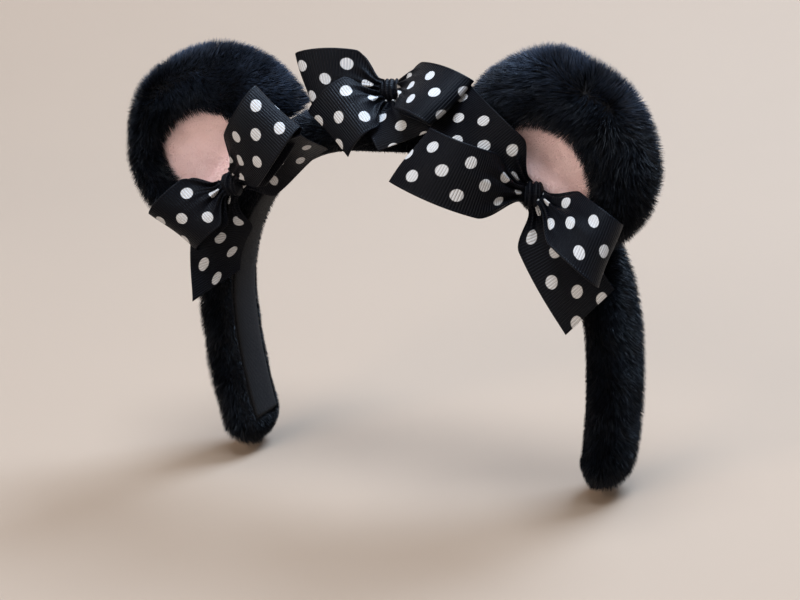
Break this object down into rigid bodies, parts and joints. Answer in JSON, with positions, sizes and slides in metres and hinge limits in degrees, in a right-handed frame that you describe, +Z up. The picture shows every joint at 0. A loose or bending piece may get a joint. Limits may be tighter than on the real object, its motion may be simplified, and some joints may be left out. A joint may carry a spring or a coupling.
{
  "type": "animal ears headband",
  "caption": "Fur-covered headband with stuffed round animal ears, pink fleece inside, and tied polka-dot ribbon bows along its crown.",
  "frame": {"origin": "middle of the lining's flat at the crown, on the face that rests on the wearer's head", "axes": "+Z up away from the head, +X towards the wearer's left, -Y the way the wearer faces"},
  "size_m": [0.2031, 0.0637, 0.1567],
  "materials": {
    "black_fur": "short dense pile",
    "pink_fleece": "short brushed pile",
    "dotted_ribbon": "ribbed grosgrain with off-white dots",
    "lining_fabric": "flat woven tape",
    "hoop_plastic": "moulded",
    "padding_foam": "soft wadding",
    "ear_filling": "loose fibre",
    "base_felt": "felt",
    "black_thread": "twisted thread"
  },
  "bodies": {
    "crown": {"crown_lining": "lining_fabric", "crown_hoop": "hoop_plastic", "crown_padding": "padding_foam", "crown_fur_sleeve": "black_fur", "left_ear_base_strip": "base_felt", "right_ear_base_strip": "base_felt", "left_ear_stitches": "black_thread", "right_ear_stitches": "black_thread", "left_bow_tack": "black_thread", "centre_bow_tack": "black_thread", "right_bow_tack": "black_thread"},
    "left_arm": {"left_arm_lining": "lining_fabric", "left_arm_hoop": "hoop_plastic", "left_arm_padding": "padding_foam", "left_arm_fur_sleeve": "black_fur"},
    "right_arm": {"right_arm_lining": "lining_fabric", "right_arm_hoop": "hoop_plastic", "right_arm_padding": "padding_foam", "right_arm_fur_sleeve": "black_fur"},
    "left_ear": {"left_ear_fur_back": "black_fur", "left_ear_fur_rim": "black_fur", "left_ear_inner_panel": "pink_fleece", "left_ear_filling": "ear_filling"},
    "right_ear": {"right_ear_fur_back": "black_fur", "right_ear_fur_rim": "black_fur", "right_ear_inner_panel": "pink_fleece", "right_ear_filling": "ear_filling"},
    "left_bow": {"left_bow_knot": "dotted_ribbon", "left_bow_crown_loop": "dotted_ribbon", "left_bow_outer_loop": "dotted_ribbon", "left_bow_crown_tail": "dotted_ribbon", "left_bow_outer_tail": "dotted_ribbon"},
    "centre_bow": {"centre_bow_knot": "dotted_ribbon", "centre_bow_right_loop": "dotted_ribbon", "centre_bow_left_loop": "dotted_ribbon", "centre_bow_right_tail": "dotted_ribbon", "centre_bow_left_tail": "dotted_ribbon"},
    "right_bow": {"right_bow_knot": "dotted_ribbon", "right_bow_crown_loop": "dotted_ribbon", "right_bow_outer_loop": "dotted_ribbon", "right_bow_crown_tail": "dotted_ribbon", "right_bow_outer_tail": "dotted_ribbon"}
  },
  "joints": [
    {"name": "left_arm_flex", "type": "hinge", "parent": "crown", "child": "left_arm", "pos_m": [0.07227, 0, -0.04684], "axis": [0, -1, 0], "range_deg": [-4, 7], "stiffness_Nm_per_rad": 0.4},
    {"name": "right_arm_flex", "type": "hinge", "parent": "crown", "child": "right_arm", "pos_m": [-0.07227, 0, -0.04684], "axis": [0, 1, 0], "range_deg": [-4, 7], "stiffness_Nm_per_rad": 0.4},
    {"name": "left_ear_rock", "type": "hinge", "parent": "crown", "child": "left_ear", "pos_m": [0.06037, -0.002, -0.00157], "axis": [0.745, 0, -0.6671], "range_deg": [-15, 4], "stiffness_Nm_per_rad": 0.05},
    {"name": "right_ear_rock", "type": "hinge", "parent": "crown", "child": "right_ear", "pos_m": [-0.06037, -0.002, -0.00157], "axis": [0.745, 0, 0.6671], "range_deg": [-15, 4], "stiffness_Nm_per_rad": 0.05},
    {"name": "left_bow_turn", "type": "hinge", "parent": "crown", "child": "left_bow", "pos_m": [0.06, -0.018, -0.008], "axis": [0.4101, -0.8794, 0.2419], "range_deg": [-3, 4], "stiffness_Nm_per_rad": 0.01},
    {"name": "centre_bow_turn", "type": "hinge", "parent": "crown", "child": "centre_bow", "pos_m": [0.001, -0.0025, 0.0222], "axis": [0, 0, 1], "range_deg": [-4, 4], "stiffness_Nm_per_rad": 0.01},
    {"name": "right_bow_turn", "type": "hinge", "parent": "crown", "child": "right_bow", "pos_m": [-0.059, -0.018, -0.01], "axis": [0.1361, -0.9686, 0.2079], "range_deg": [-4, 4], "stiffness_Nm_per_rad": 0.01}
  ]
}
